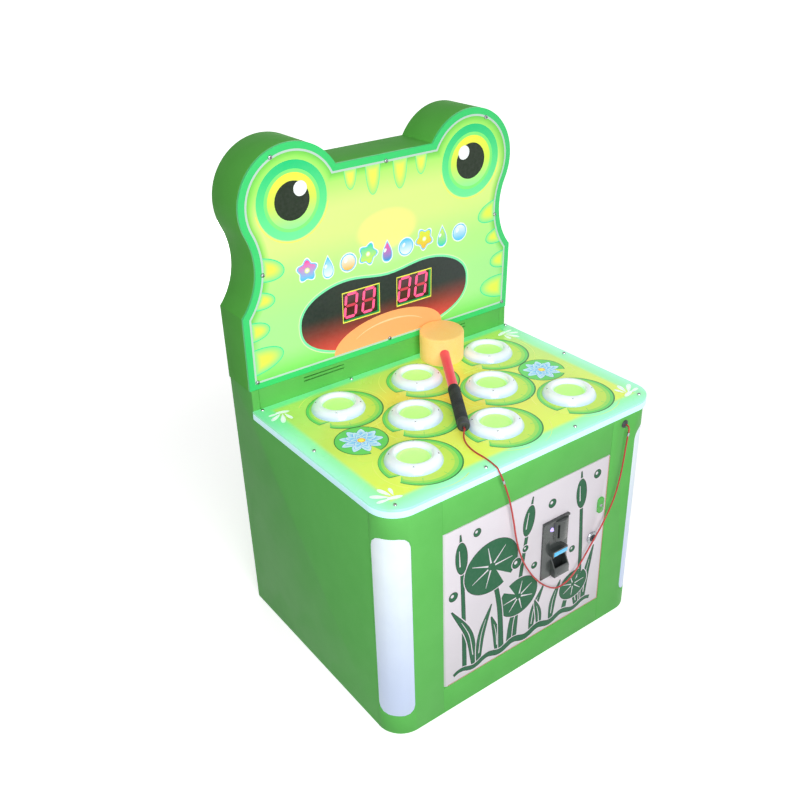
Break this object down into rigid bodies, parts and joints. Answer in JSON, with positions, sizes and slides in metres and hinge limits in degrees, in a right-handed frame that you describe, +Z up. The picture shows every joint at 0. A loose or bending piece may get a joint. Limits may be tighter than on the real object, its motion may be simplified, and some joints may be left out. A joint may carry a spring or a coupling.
{
  "type": "mole pounding arcade machine",
  "caption": "Coin-operated pounding game: low green cabinet, lit deck with ringed holes and pop-up moles, two-eyed head with a score display, tethered soft hammer.",
  "frame": {"origin": "centre of the footprint, on the surface the machine stands on", "axes": "+X to a player's right, +Y to the back, +Z up"},
  "size_m": [0.62, 0.515, 0.9641],
  "materials": {
    "cabinet_laminate": "green laminate on board, satin",
    "bare_board": "bare particle board",
    "head_laminate": "dark green laminate on board, satin",
    "face_print": "printed clear sheet, glossy",
    "deck_print": "printed clear sheet, glossy",
    "lit_acrylic": "milky sheet lit from behind",
    "ring_acrylic": "milky moulding, lit",
    "mole_plastic": "pale green moulding, satin",
    "coil_copper": "varnished copper winding",
    "light_board_white": "white foam board",
    "display_black": "dark tinted window",
    "black_plastic": "fine grained black moulding",
    "button_blue": "translucent blue, glossy",
    "plain_steel": "bright zinc plate",
    "lock_chrome": "polished",
    "latch_green": "bright green paint, glossy",
    "door_print": "printed film on board, satin",
    "circuit_green": "solder-masked board with parts",
    "hammer_foam": "soft coated foam, satin",
    "hammer_red": "red sleeve, satin",
    "grip_foam": "black foam rubber",
    "cord_red": "red jacket, satin"
  },
  "bodies": {
    "cabinet": {"left_side_panel": "cabinet_laminate", "right_side_panel": "cabinet_laminate", "rear_panel": "cabinet_laminate", "base_board": "bare_board", "front_top_rail": "cabinet_laminate", "front_bottom_rail": "cabinet_laminate", "left_corner_post": "cabinet_laminate", "right_corner_post": "cabinet_laminate", "left_corner_lens": "lit_acrylic", "right_corner_lens": "lit_acrylic", "deck_light_frame": "lit_acrylic", "deck_panel": "deck_print", "mechanism_board": "bare_board", "hole_ring_1": "ring_acrylic", "hole_ring_2": "ring_acrylic", "hole_ring_3": "ring_acrylic", "hole_ring_4": "ring_acrylic", "hole_ring_5": "ring_acrylic", "hole_ring_6": "ring_acrylic", "hole_ring_7": "ring_acrylic", "hole_ring_8": "ring_acrylic", "solenoid_1": "coil_copper", "solenoid_2": "coil_copper", "solenoid_3": "coil_copper", "solenoid_4": "coil_copper", "solenoid_5": "coil_copper", "solenoid_6": "coil_copper", "solenoid_7": "coil_copper", "solenoid_8": "coil_copper", "riser_panel": "cabinet_laminate", "speaker": "black_plastic", "head_shell": "head_laminate", "head_back_panel": "head_laminate", "face_panel": "face_print", "light_board": "light_board_white", "score_display": "display_black", "control_board": "circuit_green", "power_inlet": "black_plastic", "coin_box": "plain_steel", "tether_anchor": "black_plastic", "tether_cord": "cord_red", "door_hinge_rod": "plain_steel"},
    "mole_1": {"mole_1": "mole_plastic"},
    "mole_2": {"mole_2": "mole_plastic"},
    "mole_3": {"mole_3": "mole_plastic"},
    "mole_4": {"mole_4": "mole_plastic"},
    "mole_5": {"mole_5": "mole_plastic"},
    "mole_6": {"mole_6": "mole_plastic"},
    "mole_7": {"mole_7": "mole_plastic"},
    "mole_8": {"mole_8": "mole_plastic"},
    "hammer": {"hammer_head": "hammer_foam", "hammer_shaft": "hammer_red", "hammer_grip": "grip_foam"},
    "door": {"service_door": "door_print", "coin_acceptor": "black_plastic", "lock_housing": "lock_chrome"},
    "reject_button": {"coin_reject_button": "button_blue"},
    "return_flap": {"coin_return_flap": "black_plastic"},
    "lock_plug": {"lock_plug": "lock_chrome"},
    "turn_latch": {"turn_latch": "latch_green"}
  },
  "joints": [
    {"name": "mole_1_rise", "type": "slide", "parent": "cabinet", "child": "mole_1", "axis": [0, 0, 1], "range_m": [0, 0.045]},
    {"name": "mole_2_rise", "type": "slide", "parent": "cabinet", "child": "mole_2", "axis": [0, 0, 1], "range_m": [0, 0.045]},
    {"name": "mole_3_rise", "type": "slide", "parent": "cabinet", "child": "mole_3", "axis": [0, 0, 1], "range_m": [0, 0.045]},
    {"name": "mole_4_rise", "type": "slide", "parent": "cabinet", "child": "mole_4", "axis": [0, 0, 1], "range_m": [0, 0.045]},
    {"name": "mole_5_rise", "type": "slide", "parent": "cabinet", "child": "mole_5", "axis": [0, 0, 1], "range_m": [0, 0.045]},
    {"name": "mole_6_rise", "type": "slide", "parent": "cabinet", "child": "mole_6", "axis": [0, 0, 1], "range_m": [0, 0.045]},
    {"name": "mole_7_rise", "type": "slide", "parent": "cabinet", "child": "mole_7", "axis": [0, 0, 1], "range_m": [0, 0.045]},
    {"name": "mole_8_rise", "type": "slide", "parent": "cabinet", "child": "mole_8", "axis": [0, 0, 1], "range_m": [0, 0.045]},
    {"name": "hammer_lift", "type": "slide", "parent": "cabinet", "child": "hammer", "axis": [0, -0.0599, 0.9982], "range_m": [0, 0.2], "deforming": ["tether_cord"]},
    {"name": "door_swing", "type": "hinge", "parent": "cabinet", "child": "door", "pos_m": [-0.189, -0.234, 0.231], "axis": [0, 0, -1], "range_deg": [0, 95], "deforming": ["tether_cord"]},
    {"name": "reject_press", "type": "slide", "parent": "door", "child": "reject_button", "axis": [0, 1, 0], "range_m": [0, 0.004], "stiffness_N_per_m": 200},
    {"name": "return_flap_swing", "type": "hinge", "parent": "door", "child": "return_flap", "pos_m": [0.07109, -0.24, 0.23532], "axis": [1, 0, 0], "range_deg": [0, 50]},
    {"name": "lock_turn", "type": "hinge", "parent": "door", "child": "lock_plug", "pos_m": [0.16388, -0.2415, 0.22863], "axis": [0, -1, 0], "range_deg": [0, 90]},
    {"name": "latch_turn", "type": "hinge", "parent": "door", "child": "turn_latch", "pos_m": [0.17999, -0.2415, 0.29711], "axis": [0, -1, 0], "range_deg": [0, 90]}
  ]
}
